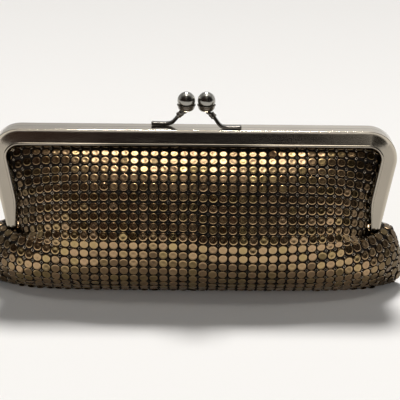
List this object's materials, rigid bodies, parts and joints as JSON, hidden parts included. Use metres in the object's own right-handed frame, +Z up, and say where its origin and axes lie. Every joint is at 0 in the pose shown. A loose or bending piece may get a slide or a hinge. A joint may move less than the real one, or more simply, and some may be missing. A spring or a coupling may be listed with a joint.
{
  "type": "metal mesh clutch purse with a kiss-lock frame",
  "caption": "Closed clutch purse of bronze metal mesh discs on a rounded pewter-coloured kiss-lock frame with ball clasp, standing on its soft base.",
  "frame": {"origin": "middle of the purse's box, on the surface that it stands on", "axes": "+X along the frame to the right as seen from the front, +Y from the front to the back, +Z up"},
  "size_m": [0.264, 0.0816, 0.1238],
  "materials": {
    "frame_metal": "polished, with a fine brushed grain",
    "clasp_metal": "polished, slightly tarnished",
    "mesh_metal": "satin, antique bronze"
  },
  "bodies": {
    "root": {"frame_front": "frame_metal", "frame_back": "frame_metal", "hinge_rivet_left": "frame_metal", "hinge_rivet_right": "frame_metal", "clasp_arm_left": "clasp_metal", "clasp_arm_right": "clasp_metal", "clasp_ball_left": "clasp_metal", "clasp_ball_right": "clasp_metal", "mesh_bag": "mesh_metal"}
  },
  "joints": []
}
